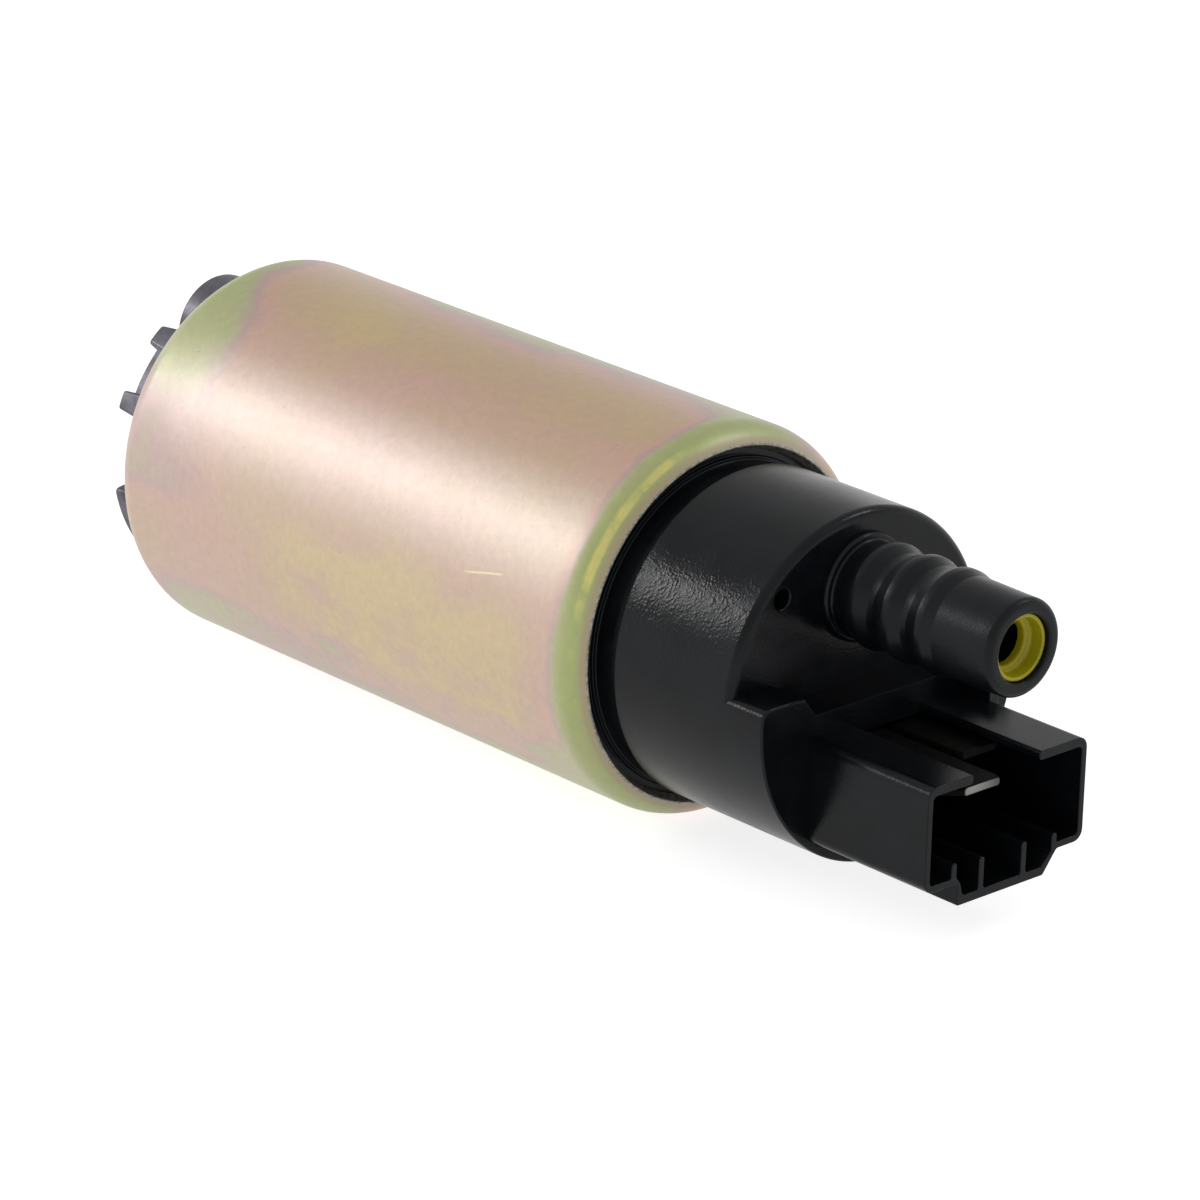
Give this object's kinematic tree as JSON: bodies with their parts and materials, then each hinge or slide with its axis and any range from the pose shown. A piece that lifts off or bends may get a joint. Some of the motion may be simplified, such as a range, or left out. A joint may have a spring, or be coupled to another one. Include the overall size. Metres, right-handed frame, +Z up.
{
  "type": "fuel pump",
  "caption": "In-tank electric fuel pump: a plated steel can with a turbine stage and motor, a barbed outlet nipple and a blade socket.",
  "frame": {"origin": "on the ground under the can, midway along the overall length", "axes": "+X along the pump's axis towards the outlet, +Y across the electrical socket, +Z up through the outlet nipple"},
  "size_m": [0.112, 0.038, 0.038],
  "materials": {
    "can": "satin yellow zinc plating",
    "die_cast": "as cast",
    "casing": "machined",
    "cap_plastic": "satin moulded",
    "holder_plastic": "moulded",
    "impeller_plastic": "filled phenolic",
    "retainer_plastic": "moulded",
    "poppet_plastic": "moulded",
    "seal_rubber": "moulded",
    "steel": "ground",
    "spring_steel": "bright",
    "lamination": "stamped",
    "magnet": "sintered",
    "copper": "enamelled wire",
    "commutator": "moulded carbon and copper",
    "bronze": "sintered",
    "carbon": "pressed",
    "ferrite": "sintered",
    "tin": "dull tin plating",
    "valve_brass": "turned"
  },
  "bodies": {
    "housing": {"steel_can": "can", "inlet_cover": "die_cast", "thrust_pad": "steel", "pump_casing": "casing", "lower_bush": "bronze", "magnet_left": "magnet", "magnet_right": "magnet", "magnet_clip_top": "spring_steel", "magnet_clip_bottom": "spring_steel", "brush_holder": "holder_plastic", "upper_bush": "bronze", "brush_spring_left": "spring_steel", "brush_spring_right": "spring_steel", "terminal_left": "tin", "terminal_right": "tin", "choke_core_left": "ferrite", "choke_core_right": "ferrite", "choke_coil_left": "copper", "choke_coil_right": "copper", "outlet_end_cap": "cap_plastic", "cap_seal_ring": "seal_rubber", "check_valve_spring": "spring_steel", "valve_retainer": "retainer_plastic", "relief_seat": "valve_brass", "relief_spring": "spring_steel"},
    "rotor": {"armature_shaft": "steel", "armature_core": "lamination", "armature_winding": "copper", "commutator": "commutator", "impeller": "impeller_plastic"},
    "brush_left": {"brush_left": "carbon", "brush_lead_left": "copper"},
    "brush_right": {"brush_right": "carbon", "brush_lead_right": "copper"},
    "check_valve": {"check_valve_poppet": "poppet_plastic"},
    "relief_valve": {"relief_ball": "steel"}
  },
  "joints": [
    {"name": "rotor_spin", "type": "hinge", "parent": "housing", "child": "rotor", "pos_m": [0, 0, 0.019], "axis": [1, 0, 0], "continuous": true},
    {"name": "brush_left_slide", "type": "slide", "parent": "housing", "child": "brush_left", "axis": [1, 0, 0], "range_m": [0, 0.002], "stiffness_N_per_m": 150, "springref_m": -0.006, "deforming": ["brush_spring_left"]},
    {"name": "brush_right_slide", "type": "slide", "parent": "housing", "child": "brush_right", "axis": [1, 0, 0], "range_m": [0, 0.002], "stiffness_N_per_m": 150, "springref_m": -0.006, "deforming": ["brush_spring_right"]},
    {"name": "check_valve_lift", "type": "slide", "parent": "housing", "child": "check_valve", "axis": [1, 0, 0], "range_m": [0, 0.0015], "stiffness_N_per_m": 120, "springref_m": -0.003, "deforming": ["check_valve_spring"]},
    {"name": "relief_valve_lift", "type": "slide", "parent": "housing", "child": "relief_valve", "axis": [1, 0, 0], "range_m": [0, 0.0008], "stiffness_N_per_m": 1500, "springref_m": -0.001, "deforming": ["relief_spring"]}
  ]
}
